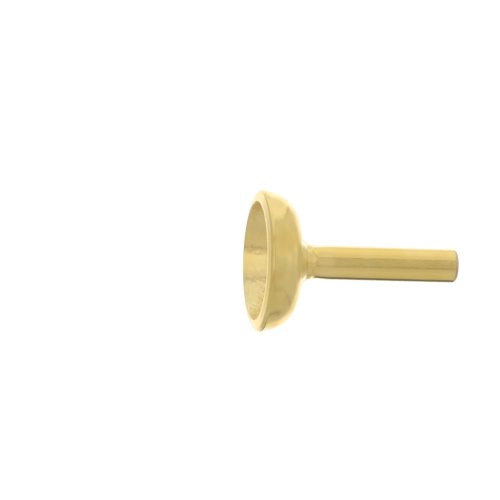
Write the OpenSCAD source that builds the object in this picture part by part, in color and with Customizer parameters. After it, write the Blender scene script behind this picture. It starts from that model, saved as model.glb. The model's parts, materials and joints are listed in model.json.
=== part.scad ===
// Stem setting for a 4 mm round cabochon: a shallow round cup on a plain post, cast in one piece.
// It lies on the floor, on the rounded side of the cup and the free end of the post.
// Each outline below is half a section: X is the radius, Y the depth behind the mouth of the cup.

/* [Cup] */
// Diameter of the crest that runs round the mouth
mouth_d = 4.18; // [4.1:0.02:4.3]
// Diameter where the bevel and the side would meet in a sharp corner
cup_d = 4.95; // [4.8:0.05:5.4]
// Height of the bevel, from the crest to that corner
bevel_h = 0.105; // [0.05:0.005:0.2]
// Rounding of the widest edge
edge_round = 0.13; // [0.06:0.01:0.2]
// Lean of the side towards the post, in degrees
side_lean = 15; // [8:1:20]
// Rounding between the side and the back
corner_round = 1.02; // [0.8:0.02:1.1]
// Slope of the domed back, in degrees
back_slope = 10.5; // [4:0.5:16]
// Depth at which the back would meet the neck
cup_h = 1.53; // [1.45:0.01:1.65]

/* [Stone seat] */
// Diameter of the straight lip round the stone
seat_d = 4.04; // [3.96:0.02:4.06]
// Depth of the small chamfer from the crest to the lip
lip_chamfer = 0.05; // [0.03:0.01:0.08]
// Depth at which the lip ends and the tapered wall begins
lip_h = 0.17; // [0.14:0.01:0.3]
// Diameter of the floor
floor_d = 3.62; // [3.4:0.02:3.8]
// Depth of the floor at its edge
floor_h = 0.85; // [0.6:0.05:0.95]
// Further depth of the dished floor at its middle
floor_dish = 0.06; // [0.02:0.01:0.1]

/* [Post] */
// Diameter of the post
post_d = 1.15; // [0.9:0.01:1.3]
// Length from the crest to the free end of the post
total_h = 7.1; // [5:0.05:12]
// Rounding of the free end
post_round = 0.12; // [0.04:0.01:0.2]
// How much wider the neck is than the post where it ends
neck_step = 0.07; // [0.03:0.01:0.1]
// Lean of the neck towards the post, in degrees
neck_lean = 5; // [2:0.5:8]
// Radius of the hollow rounding between the back and the neck
neck_fillet = 0.35; // [0.15:0.01:0.4]
// Depth at which the neck ends and runs down to the post
neck_end = 1.94; // [1.9:0.01:2.4]
// Radius of the hollow rounding between the neck's end and the post
neck_hollow = 0.45; // [0.2:0.05:0.6]

/* [Hidden] */
$fn = 96;
gold = [0.83, 0.70, 0.38];
edge_steps = 8;
corner_steps = 18;
neck_steps = 10;
hollow_steps = 4;
post_steps = 6;
dish_steps = 6;
// How far from its lowest line the turned solid starts, so that it lies on a flat between two edges of its mesh
seam_turn = 3.75;
post_r = post_d / 2;
neck_r = post_r + neck_step / 2;
// The turn of the hollow rounding that leads down from the neck's end to the post
hollow_angle = acos(1 - neck_step / 2 / neck_hollow);
// The dish is a slice of a large sphere
dish_r = (pow(floor_d / 2, 2) + pow(floor_dish, 2)) / (2 * floor_dish);
dish_angle = asin(floor_d / 2 / dish_r);

// Where the lines through a and b meet, each with its outward normal
function meeting(a, normal_a, b, normal_b) =
    let (
        reach_a = a * normal_a,
        reach_b = b * normal_b,
        det = normal_a.x * normal_b.y - normal_b.x * normal_a.y
    )
    [
        (reach_a * normal_b.y - reach_b * normal_a.y) / det,
        (normal_a.x * reach_b - normal_b.x * reach_a) / det
    ];

// Middle of the arc of radius r that touches both lines from inside; a negative r, from outside
function arc_middle(a, normal_a, b, normal_b, r) =
    meeting(a - r * normal_a, normal_a, b - r * normal_b, normal_b);

// Outward normals of the straight stretches of the outline
bevel_run = [cup_d / 2 - mouth_d / 2, bevel_h];
bevel_normal = [bevel_run.y, -bevel_run.x] / norm(bevel_run);
side_normal = [cos(side_lean), sin(side_lean)];
back_normal = [sin(back_slope), cos(back_slope)];
neck_normal = [cos(neck_lean), sin(neck_lean)];
post_normal = [1, 0];
end_normal = [0, 1];

// The corners of the outline before they are rounded, and the middles of their arcs
crest = [mouth_d / 2, 0];
widest_corner = [cup_d / 2, bevel_h];
back_foot = [neck_r, cup_h];
back_corner = meeting(widest_corner, side_normal, back_foot, back_normal);
neck_foot = [neck_r, neck_end];
post_corner = [post_r, total_h];
widest_arc = arc_middle(widest_corner, bevel_normal, widest_corner, side_normal, edge_round);
back_arc = arc_middle(back_corner, side_normal, back_corner, back_normal, corner_round);
neck_arc = arc_middle(back_foot, back_normal, neck_foot, neck_normal, -neck_fillet);
hollow_arc = [post_r + neck_hollow, neck_end + neck_hollow * sin(hollow_angle)];
post_arc = arc_middle(post_corner, post_normal, post_corner, end_normal, post_round);

// The pose on the floor: the line that touches the cup and the post's end from below is laid level.
// How far that line leans from the post when it touches an arc of the cup
function lean_under(middle, r) =
    let (run = post_arc - middle)
    atan2(-run.x, run.y) + asin((r - post_round) / norm(run));

// How far an arc of the cup reaches below the mouth's middle when the part lies leaning by tilt
function reach_below(middle, r, tilt) = r + middle.y * sin(tilt) + middle.x * cos(tilt);

rest_tilt = max(lean_under(widest_arc, edge_round), lean_under(back_arc, corner_round));
mouth_z = max(reach_below(widest_arc, edge_round, rest_tilt), reach_below(back_arc, corner_round, rest_tilt));
low_x = widest_arc.y * cos(rest_tilt) - widest_arc.x * sin(rest_tilt) - edge_round;
high_x = post_arc.y * cos(rest_tilt) + post_arc.x * sin(rest_tilt) + post_round;

// Points along an arc, from one direction to another, counted in degrees from +X
function arc(middle, r, from, to, steps) =
    [for (i = [0:steps]) let (a = from + (to - from) * i / steps) middle + r * [cos(a), sin(a)]];

function direction(v) = atan2(v.y, v.x);

// The cup's outside, from the crest over the widest edge to the back
function cup_outline() = concat(
    [crest],
    arc(widest_arc, edge_round, direction(bevel_normal), direction(side_normal), edge_steps),
    arc(back_arc, corner_round, direction(side_normal), direction(back_normal), corner_steps)
);

// The hollow rounding behind the cup, the short neck and its soft run down to the post
function neck_outline() = concat(
    arc(neck_arc, neck_fillet, direction(-back_normal), direction(-neck_normal), neck_steps),
    arc(hollow_arc, neck_hollow, hollow_angle - 180, -180, hollow_steps)
);

// The post's rounded free end
function post_outline() = concat(
    arc(post_arc, post_round, 0, 90, post_steps),
    [[0, total_h]]
);

// The hollow for the stone, from the middle of the dished floor out to the crest
function seat_outline() = concat(
    arc([0, floor_h + floor_dish - dish_r], dish_r, 90, 90 - dish_angle, dish_steps),
    [[seat_d / 2, lip_h], [seat_d / 2, lip_chamfer]]
);

// The cup, neck and post, turned about one axis and laid on the floor
module stem_setting() {
    color(gold)
        translate([-(low_x + high_x) / 2, 0, mouth_z])
            rotate([0, 90 + rest_tilt, 0])
                rotate([0, 0, seam_turn])
                    rotate_extrude()
                        polygon(concat(cup_outline(), neck_outline(), post_outline(), seat_outline()));
}

stem_setting();
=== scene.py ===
import json
import math

import bpy
from mathutils import Matrix, Vector, noise


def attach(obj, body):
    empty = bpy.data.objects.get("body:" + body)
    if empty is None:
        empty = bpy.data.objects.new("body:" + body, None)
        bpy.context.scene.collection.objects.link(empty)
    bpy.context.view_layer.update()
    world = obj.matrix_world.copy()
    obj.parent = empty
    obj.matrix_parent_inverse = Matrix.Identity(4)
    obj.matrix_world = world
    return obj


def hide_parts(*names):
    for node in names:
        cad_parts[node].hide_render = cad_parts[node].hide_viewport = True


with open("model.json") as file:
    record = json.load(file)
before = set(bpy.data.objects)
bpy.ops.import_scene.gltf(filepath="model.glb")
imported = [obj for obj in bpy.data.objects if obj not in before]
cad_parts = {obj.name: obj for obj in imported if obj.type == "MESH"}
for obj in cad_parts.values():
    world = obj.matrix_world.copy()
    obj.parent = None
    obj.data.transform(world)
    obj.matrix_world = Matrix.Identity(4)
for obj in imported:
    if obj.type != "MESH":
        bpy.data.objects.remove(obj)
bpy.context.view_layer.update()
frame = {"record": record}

MM = 0.001

# The setting's own sizes in millimetres, as in the part's source
MOUTH_D = 4.18
CUP_D = 4.95
BEVEL_H = 0.105
EDGE_ROUND = 0.13
SIDE_LEAN = math.radians(15)
CORNER_ROUND = 1.02
BACK_SLOPE = math.radians(10.5)
CUP_H = 1.53
SEAT_D = 4.04
LIP_CHAMFER = 0.05
LIP_H = 0.17
FLOOR_D = 3.62
FLOOR_H = 0.85
FLOOR_DISH = 0.06
POST_D = 1.15
TOTAL_H = 7.1
POST_ROUND = 0.12
NECK_STEP = 0.07

# How it lies, from the mount for the stone: its axis, the two ways square to it, and the mouth's middle
SEAT_MOUNT = next(mount for mount in frame["record"]["mounts"] if mount["name"] == "stone_seat")
AXIS = -Vector(SEAT_MOUNT["axis"]).normalized()
ACROSS = Vector((0.0, 1.0, 0.0))
OVER = AXIS.cross(ACROSS)
MOUTH_MIDDLE = Vector(SEAT_MOUNT["pos_m"]) / MM - AXIS * (LIP_CHAMFER + LIP_H) / 2

# What hand work adds, in millimetres: a burnished land round the crest and a lip that opens to the mouth
LAND = 0.10
LAND_DROP = 0.010
LIP_FLARE = 0.028
# The share of the land that lies inside the crest
LAND_INSIDE = 0.35
# How much of the back is filed away
BACK_FILED = 0.03
# The neck behind the cup starts with a hollow of solder that ends in a crease
CREASE_LEAN = math.radians(42)
# Then comes a collar, each end of it as its height over the post and its depth behind the mouth
COLLAR_TOP = (0.038, 1.745)
COLLAR_FOOT = (0.012, 1.915)
# The collar's hollow foot and the drawn-in root of the post behind it
HOLLOW_LEAN = math.radians(24)
ROOT_LEAN = math.radians(2)
ROOT_DRAW = 0.030
ROOT_AT = 2.13
ROOT_ENDS = 2.62

# The roundings in millimetres: small where polishing takes off an edge, and larger in the two hollows
CREST_SOFT = 0.012
LAND_SOFT = 0.03
LIP_SOFT = 0.03
WALL_SOFT = 0.05
FLOOR_SOFT = 0.035
NECK_HOLLOW = 0.28
COLLAR_SOFT = 0.012
COLLAR_HOLLOW = 0.38
ROOT_SOFT = 0.015
# The long bend from the root into the straight post
POST_SOFT = 4.0

# The mesh: its points round the axis, and an arc's largest step and least number of steps
AROUND = 320
ARC_STEP = math.radians(6)
ARC_LEAST = 3
# An arc with a larger radius than this has twice the steps
LARGE_ARC = 0.5
# How close a supporting ring lies to each end of a straight stretch
SUPPORT = 0.006
# The floor's rings, how much they crowd towards its edge, and the share of its radius that they cover
DISH_RINGS = 20
DISH_CROWDING = 1.2
DISH_SHARE = 0.985
# The length of outline that fills the turned marks' map once
MAP_LENGTH = 10

# The finishes, in the order of the materials
POLISHED = 0
BURNISHED = 1
BRUSHED = 2
TURNED = 3
SAWN = 4
SOLDERED = 5
# The longest step along the outline for each finish, in millimetres
STEPS = {POLISHED: 0.10, BURNISHED: 0.075, BRUSHED: 0.035, TURNED: 0.026, SAWN: 0.08, SOLDERED: 0.011}


def meeting(a, normal_a, b, normal_b):
    """Where the lines through a and b meet, each with its outward normal."""
    reach_a = a.dot(normal_a)
    reach_b = b.dot(normal_b)
    cross = normal_a.x * normal_b.y - normal_b.x * normal_a.y
    return Vector((
        (reach_a * normal_b.y - reach_b * normal_a.y) / cross,
        (normal_a.x * reach_b - normal_b.x * reach_a) / cross,
    ))


def seat_corners():
    """The corners from the floor over the lip to the crest and its land."""
    crest_r = MOUTH_D / 2
    return [
        (Vector((FLOOR_D / 2, FLOOR_H)), FLOOR_SOFT, TURNED, TURNED),
        (Vector((SEAT_D / 2 - LIP_FLARE / 2, LIP_H)), WALL_SOFT, TURNED, TURNED),
        (Vector((SEAT_D / 2 + LIP_FLARE / 2, LIP_CHAMFER)), LIP_SOFT, TURNED, TURNED),
        (Vector((crest_r - LAND * LAND_INSIDE, 0.0)), CREST_SOFT, BRUSHED, BRUSHED),
        (Vector((crest_r + LAND * (1 - LAND_INSIDE), LAND_DROP)), LAND_SOFT, BRUSHED, BRUSHED),
    ]


def cup_corners(back_foot, collar_top):
    """The corners from the widest edge over the back to the hollow of solder."""
    side_normal = Vector((math.cos(SIDE_LEAN), math.sin(SIDE_LEAN)))
    back_normal = Vector((math.sin(BACK_SLOPE), math.cos(BACK_SLOPE)))
    crease_normal = Vector((math.cos(CREASE_LEAN), math.sin(CREASE_LEAN)))
    widest = Vector((CUP_D / 2, BEVEL_H))
    return [
        (widest, EDGE_ROUND, BURNISHED, BURNISHED),
        (meeting(widest, side_normal, back_foot, back_normal), CORNER_ROUND, BURNISHED, BURNISHED),
        (meeting(back_foot, back_normal, collar_top, crease_normal), NECK_HOLLOW, SOLDERED, SOLDERED),
    ]


def post_corners(collar_top, collar_foot):
    """The corners from the collar over the post's root to its free end."""
    post_r = POST_D / 2
    hollow_normal = Vector((math.cos(HOLLOW_LEAN), math.sin(HOLLOW_LEAN)))
    root_normal = Vector((math.cos(ROOT_LEAN), math.sin(ROOT_LEAN)))
    root = Vector((post_r - ROOT_DRAW, ROOT_AT))
    return [
        (collar_top, COLLAR_SOFT, BRUSHED, BRUSHED),
        (collar_foot, COLLAR_SOFT, BRUSHED, POLISHED),
        (meeting(collar_foot, hollow_normal, root, root_normal), COLLAR_HOLLOW, POLISHED, POLISHED),
        (root, ROOT_SOFT, POLISHED, POLISHED),
        (Vector((post_r, ROOT_ENDS)), POST_SOFT, POLISHED, POLISHED),
        (Vector((post_r, TOTAL_H)), POST_ROUND, SAWN, SAWN),
    ]


def corners():
    """The half section's corners from the floor out over the mouth and back to the axis.

    Each is a point, the radius of its rounding, the rounding's finish and the finish after it.
    """
    post_r = POST_D / 2
    back_foot = Vector((post_r + NECK_STEP / 2, CUP_H - BACK_FILED))
    collar_top = Vector((post_r + COLLAR_TOP[0], COLLAR_TOP[1]))
    collar_foot = Vector((post_r + COLLAR_FOOT[0], COLLAR_FOOT[1]))
    return seat_corners() + cup_corners(back_foot, collar_top) + post_corners(collar_top, collar_foot)


def rounded(before, corner, after, radius):
    """Points of the arc that rounds a corner."""
    back = (before - corner).normalized()
    ahead = (after - corner).normalized()
    opening = back.angle(ahead)
    reach = radius / math.tan(opening / 2)
    middle = corner + (back + ahead).normalized() * radius / math.sin(opening / 2)
    start = corner + back * reach - middle
    end = corner + ahead * reach - middle
    turn = math.pi - opening
    if start.x * end.y - start.y * end.x < 0:
        turn = -turn
    steps = max(ARC_LEAST, math.ceil(abs(turn) / ARC_STEP))
    if radius > LARGE_ARC:
        steps = 2 * steps
    points = []
    for i in range(steps + 1):
        angle = turn * i / steps
        points.append(middle + Vector((
            start.x * math.cos(angle) - start.y * math.sin(angle),
            start.x * math.sin(angle) + start.y * math.cos(angle),
        )))
    return points


def straight(a, b, finish):
    """Points from a to b without a: a support close to each end, and even steps between."""
    length = (b - a).length
    if length < 4 * SUPPORT:
        return [b]
    inner = max(1, math.ceil((length - 2 * SUPPORT) / STEPS[finish]))
    places = [SUPPORT / length + (1 - 2 * SUPPORT / length) * i / inner for i in range(inner + 1)]
    return [a.lerp(b, t) for t in places] + [b]


def dish():
    """Points of the dished floor, from its middle nearly to its edge."""
    dish_r = ((FLOOR_D / 2) ** 2 + FLOOR_DISH ** 2) / (2 * FLOOR_DISH)
    points = [Vector((0.0, FLOOR_H + FLOOR_DISH))]
    for i in range(1, DISH_RINGS):
        radius = FLOOR_D / 2 * (1 - (1 - i / DISH_RINGS) ** DISH_CROWDING) * DISH_SHARE
        depth = FLOOR_H + FLOOR_DISH - dish_r + math.sqrt(dish_r ** 2 - radius ** 2)
        points.append(Vector((radius, depth)))
    return points


def section():
    """The half section's points, from the floor's middle to the end's middle, and the finish after each."""
    post_mid = Vector((0.0, TOTAL_H))
    listed = corners()
    points = dish()
    finishes = [POLISHED] * (len(points) - 1)
    finish = POLISHED
    for i, (corner, radius, arc_finish, next_finish) in enumerate(listed):
        before = listed[i - 1][0] if i else points[-1]
        after = listed[i + 1][0] if i + 1 < len(listed) else post_mid
        arc = rounded(before, corner, after, radius)
        lead = straight(points[-1], arc[0], finish)
        points += lead + arc[1:]
        finishes += [finish] * len(lead) + [arc_finish] * (len(arc) - 1)
        finish = next_finish
    lead = straight(points[-1], post_mid, finish)
    points += lead
    finishes += [finish] * len(lead)
    return points, finishes


def rise(value, low, high):
    """0 below low, 1 above high, smooth between."""
    share = min(max((value - low) / (high - low), 0.0), 1.0)
    return share * share * (3 - 2 * share)


def fall(value, low, high):
    """1 below low, 0 above high, smooth between."""
    return 1 - rise(value, low, high)


# The seat's part of the section starts at this depth and ends just under the floor's middle
SEAT_FROM = 0.03
SEAT_MARGIN = 0.001
# It stays within a line a little outside the wall, which narrows by this much to the millimetre of depth
SEAT_TAPER = 0.2
# Where what is left on the seat's wall fades out above the floor
NEAR_FLOOR = (FLOOR_H - 0.16, FLOOR_H - 0.02)
# A place close to the axis counts as at least this far from it
MIDDLE_R = 0.1


def on_seat(radius, depth):
    """Whether a point of the section is on the seat's lip, wall or floor."""
    deep_enough = SEAT_FROM < depth < FLOOR_H + FLOOR_DISH + SEAT_MARGIN
    return deep_enough and radius < SEAT_D / 2 - (depth - LIP_H) * SEAT_TAPER


def sideways(place, radius):
    """How far round to either side a place is: 0 above and below the axis, 1 beside it."""
    return abs(place.y) / max(radius, MIDDLE_R)


# The pale cast skin on the neck's hollow, with a painted highlight where the camera sees the hollow
# edge-on: its share, its depths, its widest radius, and how far round it is
HOLLOW_SKIN_SHEEN = 0.9
HOLLOW_SHEEN_DEPTH = (1.42, 1.50)
HOLLOW_SHEEN_R = 1.2
HOLLOW_SHEEN_ROUND = (0.55, 0.78)
# The same pale skin and painted sheen on the sides of the seat, and how much less of it there is on the
# lip's far side, and where
SEAT_SKIN_SHEEN = 0.97
SEAT_SHEEN_ROUND = (0.60, 0.80)
FAR_LIP_LESS = 0.7
FAR_LIP_ACROSS = (0.9, 1.2)
FAR_LIP_DEPTH = (0.22, 0.36)
# A thin skin over the whole wall, and how much more there is on the near side
THIN_SKIN = 0.15
NEAR_SKIN = 0.32
NEAR_ACROSS = (0.2, 0.9)
# How rough the wall was left away from the near side, and the depths over which the roughness starts
ROUGH_LEAST = 0.25
ROUGH_DEPTH = (0.10, 0.40)


def pale_skin_and_sheen(place, radius, depth):
    """How much pale cast skin and painted sheen a place has, most at the sides of the seat and the hollow,
    where the camera sees them edge-on.
    """
    if HOLLOW_SHEEN_DEPTH[0] < depth < COLLAR_TOP[1] and radius < HOLLOW_SHEEN_R:
        # Pale skin with a painted highlight on the hollow where it is seen edge-on
        round_it = rise(sideways(place, radius), *HOLLOW_SHEEN_ROUND)
        return HOLLOW_SKIN_SHEEN * round_it * rise(depth, *HOLLOW_SHEEN_DEPTH)
    if not on_seat(radius, depth):
        return 0.0
    far_lip_less = FAR_LIP_LESS * rise(place.y, *FAR_LIP_ACROSS) * fall(depth, *FAR_LIP_DEPTH)
    # Pale skin with painted sheen on the seat's sides, seen edge-on
    sides = SEAT_SKIN_SHEEN * rise(sideways(place, radius), *SEAT_SHEEN_ROUND) * (1 - far_lip_less)
    wall = THIN_SKIN + NEAR_SKIN * rise(-place.y, *NEAR_ACROSS)
    return max(sides, wall) * fall(depth, *NEAR_FLOOR)


def roughness(place, depth):
    """How rough the seat's wall was left, which is more on the near side."""
    return rise(depth, *ROUGH_DEPTH) * (ROUGH_LEAST + (1 - ROUGH_LEAST) * rise(-place.y, *NEAR_ACROSS))


# Tarnish with painted shade in the corner of the seat: its share, its depths and its radii
CORNER_STAIN_SHADE = 0.5
CORNER_DEPTH = (FLOOR_H - 0.09, FLOOR_H - 0.02)
CORNER_R = (1.6, 1.75)
# Painted shade towards the seat's two sides and at them in full, where the camera sees the wall edge-on, by
# how far a place faces up or down
SIDE_SHADE = 0.3
TOWARDS_SIDES = (0.65, 0.85)
AT_SIDES = (0.30, 0.60)
# Tarnish with painted shade behind the cup: where it starts and ends, its share all round, and where it is
# full on the side facing the camera
BEHIND_STARTS = (1.00, 1.12)
BEHIND_ENDS = (1.52, 1.58)
BEHIND_LEAST = 0.2
BEHIND_FACING = (0.92, 0.975)


def tarnish_and_shade(facing, radius, depth):
    """How much tarnish and painted shade a place gets, in the seat and behind the cup."""
    if on_seat(radius, depth):
        # Tarnish with painted shade in the seat's corner, and painted shade towards and at its sides
        corner = CORNER_STAIN_SHADE * rise(depth, *CORNER_DEPTH) * rise(radius, *CORNER_R)
        towards_sides = SIDE_SHADE * fall(abs(facing), *TOWARDS_SIDES) * fall(depth, *NEAR_FLOOR)
        at_sides = fall(abs(facing), *AT_SIDES) * fall(depth, *NEAR_FLOOR)
        return max(corner, towards_sides, at_sides)
    # Tarnish with painted shade behind the cup, fullest on the side facing the camera
    behind = rise(depth, *BEHIND_STARTS) * fall(depth, *BEHIND_ENDS)
    return behind * (BEHIND_LEAST + (1 - BEHIND_LEAST) * rise(facing, *BEHIND_FACING))


# Kinds of bumps that hand work left, each as its height and how many there are to the millimetre
POST_BUMPS = (0.0004, 3.1)
CHATTER = (0.0020, 4.0)
RIPPLES = (0.0032, 9.0)
FINE_RIPPLES = (0.0014, 13.0)
GRAIN = (0.0050, 8.0)
FINE_GRAIN = (0.0045, 13.0)
RIM_BUMPS = (0.0010, 5.0)
FINE_RIM_BUMPS = (0.0009, 12.0)
DENTS = (0.0120, 0.9)
SMALL_DENTS = (0.0085, 2.1)
CUP_BUMPS = (0.0012, 5.0)
# The small dents are moved so that they don't lie on the large ones
NOT_MOVED = Vector((0.0, 0.0, 0.0))
DENTS_MOVED = Vector((3.0, 1.0, 5.0))
# Slow waves on the post: their height, and how many there are to the millimetre along it and across it
POST_WAVES = 0.0013
WAVES_ALONG = 0.45
WAVES_ACROSS = 1.2
# How much of the seat's ripples is lost towards its sides, and where
RIPPLES_LOST = 0.8
RIPPLES_ROUND = (0.40, 0.65)
# The rim lies outside this radius and above this depth
RIM_R = 2.0
RIM_DEPTH = 0.15
# Where the cup's dents fade out along the neck
DENTS_DEPTH = (1.6, ROOT_AT)
# Turning marks in the hollow of solder: their height and pitch, and where they start and end
TURNING = 0.0018
TURNING_PITCH = 0.062
TURNING_STARTS = (1.50, 1.56)
TURNING_ENDS = (1.72, 1.74)


def bumps(place, kind, moved=NOT_MOVED):
    """The height of one kind of bumps at a place."""
    height, fineness = kind
    return height * noise.noise(place * fineness + moved)


def post_waviness(place):
    """How far the post's surface waves."""
    slow = Vector((place.x * WAVES_ALONG, place.y * WAVES_ACROSS, place.z * WAVES_ACROSS))
    return POST_WAVES * noise.noise(slow) + bumps(place, POST_BUMPS)


def seat_waviness(place, radius, depth):
    """How far the seat's chatter, ripples and cast grain stand proud."""
    grain_and_sheen = max(pale_skin_and_sheen(place, radius, depth), roughness(place, depth) * fall(depth, *NEAR_FLOOR))
    middle = 1 - RIPPLES_LOST * rise(sideways(place, radius), *RIPPLES_ROUND)
    ripples = bumps(place, RIPPLES) + bumps(place, FINE_RIPPLES)
    chatter = bumps(place, CHATTER) + middle * ripples
    return chatter + grain_and_sheen * (bumps(place, GRAIN) + bumps(place, FINE_GRAIN))


def cup_waviness(place, depth):
    """How far the dents in the cup's outside and the turning marks on its neck stand proud."""
    dents = bumps(place, DENTS) + bumps(place, SMALL_DENTS, DENTS_MOVED)
    marks = TURNING * math.sin(depth * math.tau / TURNING_PITCH)
    marks = marks * rise(depth, *TURNING_STARTS) * fall(depth, *TURNING_ENDS)
    return fall(depth, *DENTS_DEPTH) * (dents + bumps(place, CUP_BUMPS)) + marks


def waviness(place, radius, depth):
    """How far hand work left the surface proud of its true shape, in millimetres."""
    if depth > ROOT_AT:
        return post_waviness(place)
    if on_seat(radius, depth):
        return seat_waviness(place, radius, depth)
    if radius > RIM_R and depth < RIM_DEPTH:
        return bumps(place, RIM_BUMPS) + bumps(place, FINE_RIM_BUMPS)
    return cup_waviness(place, depth)


def section_normals(points):
    """The outward normal at each point of the section."""
    normals = []
    for i in range(len(points)):
        before = points[max(i - 1, 0)]
        after = points[min(i + 1, len(points) - 1)]
        run = (after - before).normalized()
        normals.append(Vector((run.y, -run.x)))
    return normals


def section_lengths(points):
    """How far along the section each of its points is."""
    lengths = [0.0]
    for before, after in zip(points, points[1:]):
        lengths.append(lengths[-1] + (after - before).length)
    return lengths


def turned_points(points):
    """The mesh's points ring by ring, then its two ends, with the cast skin and painted sheen, and the
    tarnish and painted shade, at each.
    """
    verts = []
    skins_and_sheen = []
    stains_and_shade = []
    for (radius, depth), normal in list(zip(points, section_normals(points)))[1:-1]:
        for k in range(AROUND):
            angle = 2 * math.pi * k / AROUND
            radial = -OVER * math.cos(angle) + ACROSS * math.sin(angle)
            place = MOUTH_MIDDLE + AXIS * depth + radial * radius
            out = radial * normal.x + AXIS * normal.y
            verts.append((place + out * waviness(place, radius, depth)) * MM)
            # Each point's cast skin with painted sheen, and its tarnish with painted shade
            skins_and_sheen.append(pale_skin_and_sheen(place, radius, depth))
            stains_and_shade.append(tarnish_and_shade(-math.cos(angle), radius, depth))
    for end in (points[0], points[-1]):
        verts.append((MOUTH_MIDDLE + AXIS * end.y) * MM)
        skins_and_sheen.append(0.0)
        stains_and_shade.append(0.0)
    return verts, skins_and_sheen, stains_and_shade


def turned_faces(rings):
    """The mesh's faces, each as its points, its stretch of the section, and its corners in the turned map.

    A corner in the map is a number of steps round the axis and a number of points along the section.
    """
    floor_mid = rings * AROUND
    post_mid = floor_mid + 1
    last = (rings - 1) * AROUND
    faces = []
    for k in range(AROUND):
        n = (k + 1) % AROUND
        faces.append(((floor_mid, n, k), 0, ((k + 0.5, 0), (k + 1, 1), (k, 1))))
    for i in range(rings - 1):
        here = i * AROUND
        there = here + AROUND
        for k in range(AROUND):
            n = (k + 1) % AROUND
            quad = (here + k, here + n, there + n, there + k)
            faces.append((quad, i + 1, ((k, i + 1), (k + 1, i + 1), (k + 1, i + 2), (k, i + 2))))
    for k in range(AROUND):
        n = (k + 1) % AROUND
        around_end = ((k + 0.5, rings + 1), (k, rings), (k + 1, rings))
        faces.append(((post_mid, last + k, last + n), rings, around_end))
    return faces


def lathe(name):
    """The whole setting as one turned mesh, lying in its place."""
    points, finishes = section()
    lengths = section_lengths(points)
    verts, skins_and_sheen, stains_and_shade = turned_points(points)
    faces = turned_faces(len(points) - 2)
    mesh = bpy.data.meshes.new(name)
    mesh.from_pydata(verts, [], [face for face, stretch, in_map in faces])
    mesh.polygons.foreach_set("material_index", [finishes[stretch] for face, stretch, in_map in faces])
    turned_map = []
    for face, stretch, in_map in faces:
        for k, row in in_map:
            turned_map += [k / AROUND, lengths[row] / MAP_LENGTH]
    mesh.uv_layers.new(name="turned").data.foreach_set("uv", turned_map)
    # The two masks: cast skin with painted sheen, and tarnish with painted shade
    mesh.attributes.new("grain_and_sheen", "FLOAT", "POINT").data.foreach_set("value", skins_and_sheen)
    mesh.attributes.new("tarnish_and_shade", "FLOAT", "POINT").data.foreach_set("value", stains_and_shade)
    mesh.shade_smooth()
    made = bpy.data.objects.new(name, mesh)
    bpy.context.scene.collection.objects.link(made)
    return made


# The materials' patterns, to the metre: clouds in the tone, wear in the polish and cast grit
CLOUD_SCALE = 900.0
WEAR_SCALE = 1500.0
GRIT_SCALE = 16000.0
CLOUD_DETAIL = 4.0
GRIT_DETAIL = 2.0
# Between which values of its cloud the tone turns pale
TONE_ENDS = (0.42, 0.6)
# The values between which a pattern mostly stays
PATTERN_ENDS = (0.3, 0.7)
# How much rougher the surface is where the tarnish and painted shade is full
DULLING = 0.50
# The colour of tarnish, laid on also as painted shade
TARNISH_AND_SHADE = (0.87, 0.71, 0.28)
# The pale colour of the cast skin, laid on also as painted sheen
CAST_SKIN_SHEEN = (0.97, 0.86, 0.50)


def node(tree, kind, **values):
    """Adds a node and sets its values."""
    made = tree.nodes.new(kind)
    for key, value in values.items():
        setattr(made, key, value)
    return made


def pattern(tree, vector, scale, detail):
    """A cloudy pattern, around 0.5."""
    made = node(tree, "ShaderNodeTexNoise")
    made.inputs["Scale"].default_value = scale
    made.inputs["Detail"].default_value = detail
    tree.links.new(vector, made.inputs["Vector"])
    return made.outputs["Fac"]


def spread(tree, value, ends):
    """Spreads a pattern between two ends."""
    made = node(tree, "ShaderNodeMapRange")
    made.inputs["From Min"].default_value = PATTERN_ENDS[0]
    made.inputs["From Max"].default_value = PATTERN_ENDS[1]
    made.inputs["To Min"].default_value = ends[0]
    made.inputs["To Max"].default_value = ends[1]
    tree.links.new(value, made.inputs["Value"])
    return made.outputs["Result"]


def laid_over(tree, under, color, share):
    """A plain colour laid over what is under it, by its share."""
    made = node(tree, "ShaderNodeMix", data_type="RGBA")
    made.inputs["B"].default_value = (*color, 1.0)
    tree.links.new(share, made.inputs["Factor"])
    tree.links.new(under, made.inputs["A"])
    return made.outputs["Result"]


def tone(tree, coords, color, pale):
    """Two golds in soft clouds."""
    made = node(tree, "ShaderNodeValToRGB")
    for element, position, shade in zip(made.color_ramp.elements, TONE_ENDS, (color, pale)):
        element.position = position
        element.color = (*shade, 1.0)
    tree.links.new(pattern(tree, coords, CLOUD_SCALE, CLOUD_DETAIL), made.inputs["Fac"])
    return made.outputs["Color"]


def polish(tree, coords, stain_and_shade, rough):
    """An uneven roughness between two ends, rougher under the tarnish and painted shade."""
    wear = pattern(tree, coords, WEAR_SCALE, CLOUD_DETAIL)
    made = node(tree, "ShaderNodeMath", operation="MULTIPLY_ADD", use_clamp=True)
    made.inputs[1].default_value = DULLING
    tree.links.new(stain_and_shade, made.inputs[0])
    tree.links.new(spread(tree, wear, rough), made.inputs[2])
    return made.outputs[0]


def work_marks(tree, stretch, height):
    """Fine marks that follow the work."""
    turned = node(tree, "ShaderNodeUVMap", uv_map="turned").outputs["UV"]
    stretched = node(tree, "ShaderNodeMapping")
    stretched.inputs["Scale"].default_value = stretch
    tree.links.new(turned, stretched.inputs["Vector"])
    marks = pattern(tree, stretched.outputs["Vector"], 1.0, CLOUD_DETAIL)
    made = node(tree, "ShaderNodeBump")
    made.inputs["Distance"].default_value = height * MM
    tree.links.new(marks, made.inputs["Height"])
    return made.outputs["Normal"]


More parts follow.
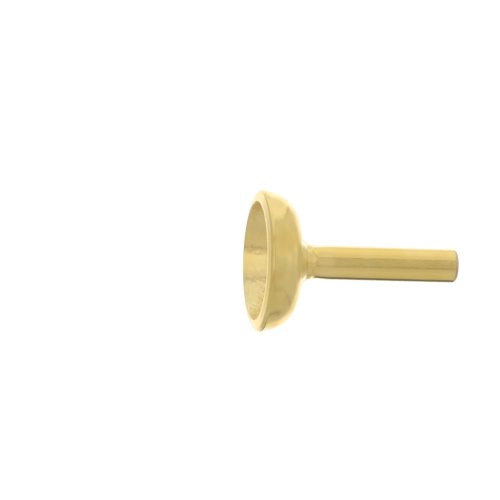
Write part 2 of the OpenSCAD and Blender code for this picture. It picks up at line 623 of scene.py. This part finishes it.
def grit_marks(tree, coords, under, share, height):
    """Cast grit over the marks that are under it, where the cast skin is left."""
    made = node(tree, "ShaderNodeBump")
    made.inputs["Distance"].default_value = height * MM
    tree.links.new(share, made.inputs["Strength"])
    tree.links.new(pattern(tree, coords, GRIT_SCALE, GRIT_DETAIL), made.inputs["Height"])
    tree.links.new(under, made.inputs["Normal"])
    return made.outputs["Normal"]


def gold(name, color, pale, rough, stretch, mark_height, grit_height):
    """Gold with an uneven tone and polish, fine marks along the work, cast skin with painted sheen, and
    tarnish with painted shade.

    The heights are in millimetres, and stretch is how often the marks repeat each way in the turned map.
    """
    made = bpy.data.materials.new(name)
    made.use_nodes = True
    tree = made.node_tree
    shader = tree.nodes["Principled BSDF"]
    shader.inputs["Metallic"].default_value = 1.0
    coords = node(tree, "ShaderNodeTexCoord").outputs["Object"]
    stain_and_shade = node(tree, "ShaderNodeAttribute", attribute_name="tarnish_and_shade").outputs["Fac"]
    skin_and_sheen = node(tree, "ShaderNodeAttribute", attribute_name="grain_and_sheen").outputs["Fac"]
    # Tarnish with painted shade, then cast skin with painted sheen, laid over the tone
    tarnished_and_shaded = laid_over(tree, tone(tree, coords, color, pale), TARNISH_AND_SHADE, stain_and_shade)
    tree.links.new(laid_over(tree, tarnished_and_shaded, CAST_SKIN_SHEEN, skin_and_sheen), shader.inputs["Base Color"])
    tree.links.new(polish(tree, coords, stain_and_shade, rough), shader.inputs["Roughness"])
    marks = work_marks(tree, stretch, mark_height)
    tree.links.new(grit_marks(tree, coords, marks, skin_and_sheen, grit_height), shader.inputs["Normal"])
    return made


def polished_gold():
    """The post and the seat's floor."""
    return gold(
        "polished_gold",
        color=(0.93, 0.69, 0.225),
        pale=(0.95, 0.73, 0.285),
        rough=(0.035, 0.075),
        stretch=(500, 12, 1),
        mark_height=0.0012,
        grit_height=0.002,
    )


def burnished_gold():
    """The cup's outside."""
    return gold(
        "burnished_gold",
        color=(0.875, 0.645, 0.205),
        pale=(0.95, 0.74, 0.29),
        rough=(0.16, 0.27),
        stretch=(60, 60, 1),
        mark_height=0.002,
        grit_height=0.002,
    )


def brushed_rim():
    """The crest, the bevel and the collar."""
    return gold(
        "brushed_rim",
        color=(0.94, 0.715, 0.265),
        pale=(0.95, 0.755, 0.335),
        rough=(0.18, 0.32),
        stretch=(70, 420, 1),
        mark_height=0.005,
        grit_height=0.002,
    )


def turned_wall():
    """The seat's lip and wall."""
    return gold(
        "turned_wall",
        color=(0.95, 0.69, 0.23),
        pale=(0.96, 0.725, 0.28),
        rough=(0.07, 0.14),
        stretch=(200, 190, 1),
        mark_height=0.0026,
        grit_height=0.010,
    )


def sawn_end():
    """The post's free end, where the bare metal shows."""
    return gold(
        "sawn_end",
        color=(0.52, 0.47, 0.34),
        pale=(0.66, 0.60, 0.46),
        rough=(0.30, 0.45),
        stretch=(40, 900, 1),
        mark_height=0.006,
        grit_height=0.002,
    )


def soldered_neck():
    """The hollow of solder behind the cup."""
    return gold(
        "soldered_neck",
        color=(0.86, 0.67, 0.215),
        pale=(0.90, 0.72, 0.275),
        rough=(0.05, 0.10),
        stretch=(60, 200, 1),
        mark_height=0.002,
        grit_height=0.002,
    )


setting = lathe("setting_body")
for finish in (polished_gold, burnished_gold, brushed_rim, turned_wall, sawn_end, soldered_neck):
    setting.data.materials.append(finish())
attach(setting, "root")
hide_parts("stem_setting")


# The floor is far wider than the part
FLOOR_HALF = 0.4
PAPER = 0.9


def white_paper():
    """A plain white without any shine."""
    made = bpy.data.materials.new("white_paper")
    made.use_nodes = True
    shader = made.node_tree.nodes["Principled BSDF"]
    shader.inputs["Base Color"].default_value = (PAPER, PAPER, PAPER, 1.0)
    shader.inputs["Roughness"].default_value = 1.0
    shader.inputs["Specular IOR Level"].default_value = 0.0
    return made


def white_floor(name):
    """A flat square of paper that doesn't show in the metal."""
    mesh = bpy.data.meshes.new(name)
    ways = ((-1, -1), (1, -1), (1, 1), (-1, 1))
    mesh.from_pydata([(FLOOR_HALF * x, FLOOR_HALF * y, 0) for x, y in ways], [], [(0, 1, 2, 3)])
    mesh.materials.append(white_paper())
    made = bpy.data.objects.new(name, mesh)
    made.visible_glossy = False
    bpy.context.scene.collection.objects.link(made)
    return made


table_top = white_floor("table_top")


# The tent is plain cloth, with its far side at +Y, its near side at -Y and its ceiling at a height of 1
# Here are its walls' distances and its faces' brightness
CEILING = 0.62
FAR_DISTANCE = 0.78
FAR_WALL = 0.77
NEAR_DISTANCE = 0.51
NEAR_WALL = 0.61
POST_DISTANCE = 0.61
POST_WALL = 0.77
MOUTH_DISTANCE = 0.75
MOUTH_WALL = 0.66
# The far wall's foot is brighter, from the first slope over the horizon down to the second
FAR_FOOT = 0.94
FAR_SLOPES = (0.50, -0.05)
# The wall past the post's end is duller towards the near wall
POST_NEAR = 0.61
POST_TURNS = (0.35, -0.35)
# The tent's seams are darker than the cloth, and one face turns softly into the next
SEAM_WIDTH = 0.075
SEAM_SHADE = 0.60
FACE_SOFT = 0.012
# How much brighter or darker the soft folds make the cloth, and their pattern
FOLDS = 0.10
FOLD_SCALE = 2.2
FOLD_DETAIL = 2.0
# A brighter lamp cloth in the ceiling over the mouth, with the two ends of each band and how soft they are
LAMP = 0.86
LAMP_X = (-0.6, 0.22, 0.06)
LAMP_Y = (-0.27, 0.36, 0.05)
# The cloth beside it, which it shines through a little
HEM = 0.73
HEM_Y = (0.30, 0.95, 0.05)
# A dull skirt round the foot of the wall that the mouth faces
SKIRT = 0.58
SKIRT_SLOPES = (-0.05, 0.40, 0.06)
# The pale ground below the tent, which starts well under the horizon
GROUND = 1.15
GROUND_DEPTH = (-0.45, -0.80)
# How much lower it starts at the sides and past the post's end than at the mouth
GROUND_SIDES = 0.25
GROUND_END = 0.20
# How much higher it starts on the near side, where it turns towards the post's end
GROUND_NEAR = 0.18
GROUND_NEAR_X = (0.10, 0.22)
# A painted shadow under the near side of the post: a dark patch low in the tent, seen in the metal, that
# stands for the part's shadow on the floor; by its place along the post and its slope down
SHADOW_PATCH = 0.20
SHADOW_ALONG = (0.12, 0.27, 0.03)
SHADOW_SLOPES = (0.56, 3.0, 0.05)
# The painted shadow's short arm towards the post's end
SHADOW_ARM_X = (0.75, 1.25, 0.04)
SHADOW_ARM_SLOPES = (0.30, 0.48, 0.05)
# The least that anything is divided by
LEAST = 0.001


class Sums:
    """Writes arithmetic as math nodes of one tree."""

    def __init__(self, tree):
        self.tree = tree

    def do(self, kind, a, b=0.0):
        """One sum of one or two values, each a number or a socket."""
        made = node(self.tree, "ShaderNodeMath", operation=kind)
        for socket, value in zip(made.inputs, (a, b)):
            if isinstance(value, (int, float)):
                socket.default_value = value
            else:
                self.tree.links.new(value, socket)
        return made.outputs[0]

    def times(self, a, b):
        """a multiplied by b."""
        return self.do("MULTIPLY", a, b)

    def slope(self, rise_by, run):
        """One value for each unit of another, which counts as at least a little."""
        return self.do("DIVIDE", rise_by, self.do("MAXIMUM", run, LEAST))

    def ramp(self, value, low, high):
        """0 below low, 1 above high, smooth between; falls instead where low is above high."""
        made = node(self.tree, "ShaderNodeMapRange", interpolation_type="SMOOTHSTEP")
        self.tree.links.new(value, made.inputs["Value"])
        made.inputs["From Min"].default_value = low
        made.inputs["From Max"].default_value = high
        return made.outputs["Result"]

    def inside(self, value, start, end, soft):
        """1 between the two ends and 0 beyond them, with soft edges."""
        rises = self.ramp(value, start - soft, start + soft)
        falls = self.ramp(value, end - soft, end + soft)
        return self.do("SUBTRACT", rises, falls)

    def mix(self, a, b, share):
        """a where share is 0 and b where it is 1."""
        more = self.do("SUBTRACT", b, a)
        return self.do("ADD", a, self.times(more, share))


def ceiling(sums, x, y, z):
    """How bright the ceiling is, with the lamp cloth and its hem."""
    over_y = sums.slope(y, z)
    lamp_x = sums.inside(sums.slope(x, z), *LAMP_X)
    hem = sums.times(lamp_x, sums.inside(over_y, *HEM_Y))
    lamp = sums.times(lamp_x, sums.inside(over_y, *LAMP_Y))
    return sums.mix(sums.mix(CEILING, HEM, hem), LAMP, lamp)


def mouth_wall(sums, x, z):
    """How bright the wall is that the mouth faces, with its skirt."""
    slope = sums.slope(z, sums.do("ABSOLUTE", x))
    return sums.mix(MOUTH_WALL, SKIRT, sums.inside(slope, *SKIRT_SLOPES))


def cloth(sums, x, y, z):
    """How bright the ceiling and the walls are, with the seams where they meet."""
    far_wall = sums.mix(FAR_WALL, FAR_FOOT, sums.ramp(sums.slope(z, y), *FAR_SLOPES))
    post_wall = sums.mix(POST_WALL, POST_NEAR, sums.ramp(y, *POST_TURNS))
    faces = [
        (z, ceiling(sums, x, y, z)),
        (sums.do("DIVIDE", y, FAR_DISTANCE), far_wall),
        (sums.do("DIVIDE", y, -NEAR_DISTANCE), NEAR_WALL),
        (sums.do("DIVIDE", x, POST_DISTANCE), post_wall),
        (sums.do("DIVIDE", x, -MOUTH_DISTANCE), mouth_wall(sums, x, z)),
    ]
    nearest, light = faces[0]
    for reach, bright in faces[1:]:
        ahead = sums.do("SUBTRACT", reach, nearest)
        light = sums.mix(light, bright, sums.ramp(ahead, -FACE_SOFT, FACE_SOFT))
        seam = sums.ramp(sums.do("ABSOLUTE", ahead), SEAM_WIDTH, 0.0)
        light = sums.times(light, sums.mix(1.0, 1.0 - SEAM_SHADE, seam))
        nearest = sums.do("MAXIMUM", nearest, reach)
    return light


def ground(sums, x, y, z):
    """How much of the pale ground shows."""
    lower_sides = sums.times(sums.do("ABSOLUTE", y), GROUND_SIDES)
    lower_end = sums.times(sums.do("MAXIMUM", x, 0.0), GROUND_END)
    near = sums.times(sums.do("MAXIMUM", sums.times(y, -1.0), 0.0), GROUND_NEAR)
    higher = sums.times(near, sums.ramp(x, *GROUND_NEAR_X))
    lower = sums.do("SUBTRACT", sums.do("ADD", lower_sides, lower_end), higher)
    return sums.ramp(sums.do("ADD", z, lower), *GROUND_DEPTH)


def painted_shadow_patch(sums, x, y, z):
    """How much of the painted shadow patch and its arm shows."""
    down = sums.do("MINIMUM", z, 0.0)
    steep = sums.do("DIVIDE", down, sums.do("MINIMUM", y, -LEAST))
    along_post = sums.do("ADD", sums.times(x, AXIS.x), sums.times(z, AXIS.z))
    shadow_patch = sums.times(sums.inside(along_post, *SHADOW_ALONG), sums.inside(steep, *SHADOW_SLOPES))
    towards_end = sums.slope(x, sums.do("ABSOLUTE", down))
    shadow_arm = sums.times(sums.inside(towards_end, *SHADOW_ARM_X), sums.inside(steep, *SHADOW_ARM_SLOPES))
    return sums.do("MAXIMUM", shadow_patch, shadow_arm)


def tent(name):
    """A world that lights the scene with the tent, by direction alone."""
    made = bpy.data.worlds.new(name)
    made.use_nodes = True
    tree = made.node_tree
    tree.nodes.clear()
    sums = Sums(tree)
    direction = node(tree, "ShaderNodeTexCoord").outputs["Generated"]
    split = node(tree, "ShaderNodeSeparateXYZ")
    tree.links.new(direction, split.inputs["Vector"])
    x, y, z = (split.outputs[i] for i in range(3))
    folds = spread(tree, pattern(tree, direction, FOLD_SCALE, FOLD_DETAIL), (1.0 - FOLDS, 1.0 + FOLDS))
    light = sums.times(cloth(sums, x, y, z), folds)
    light = sums.mix(light, GROUND, ground(sums, x, y, z))
    # The painted shadow under the post, seen in the metal
    light = sums.mix(light, SHADOW_PATCH, painted_shadow_patch(sums, x, y, z))
    back = node(tree, "ShaderNodeBackground")
    back.inputs["Color"].default_value = (1.0, 1.0, 1.0, 1.0)
    tree.links.new(light, back.inputs["Strength"])
    out = node(tree, "ShaderNodeOutputWorld")
    tree.links.new(back.outputs[0], out.inputs["Surface"])
    return made


# The camera is turned off square to the setting's side, with the picture rolled a little
OFF_SQUARE = math.radians(11.6)
ROLL = math.radians(1.6)
PIXELS_PER_MM = 29.06
LENS = 400.0
SENSOR = 36.0
PICTURE = 500.0
# Where the middle of the mouth lies in the picture
MOUTH_PIXEL = (255.1, 260.6)
# What the camera sees starts and ends at these distances
SEEN = (0.001, 5.0)
# The key light comes from the camera's side, and the metal doesn't show it
KEY_POWER = 2.8
KEY_SPREAD = math.radians(10)

towards = (OVER * math.cos(OFF_SQUARE) - AXIS * math.sin(OFF_SQUARE)).normalized()


def side_camera(name):
    """A camera with a long lens that sees the setting from the side."""
    level_right = (AXIS - towards * AXIS.dot(towards)).normalized()
    level_up = towards.cross(level_right)
    right = level_right * math.cos(ROLL) + level_up * math.sin(ROLL)
    up = level_up * math.cos(ROLL) - level_right * math.sin(ROLL)
    target = (
        MOUTH_MIDDLE
        - right * (MOUTH_PIXEL[0] - PICTURE / 2) / PIXELS_PER_MM
        + up * (MOUTH_PIXEL[1] - PICTURE / 2) / PIXELS_PER_MM
    ) * MM
    distance = PICTURE / PIXELS_PER_MM * MM * LENS / SENSOR
    made = bpy.data.objects.new(name, bpy.data.cameras.new(name))
    made.data.lens = LENS
    made.data.sensor_width = SENSOR
    made.data.clip_start, made.data.clip_end = SEEN
    turned = Matrix((right, up, towards)).transposed().to_4x4()
    made.matrix_world = Matrix.Translation(target + towards * distance) @ turned
    return made


def key_light(name):
    """A soft sun from the camera's side."""
    made = bpy.data.objects.new(name, bpy.data.lights.new(name, "SUN"))
    made.data.energy = KEY_POWER
    made.data.angle = KEY_SPREAD
    made.visible_glossy = False
    made.rotation_mode = "QUATERNION"
    made.rotation_quaternion = towards.to_track_quat("Z", "Y")
    return made


scene = bpy.context.scene
scene.world = tent("tent")
scene.view_settings.view_transform = "Standard"
camera = side_camera("camera")
scene.collection.objects.link(camera)
scene.camera = camera
scene.collection.objects.link(key_light("key"))
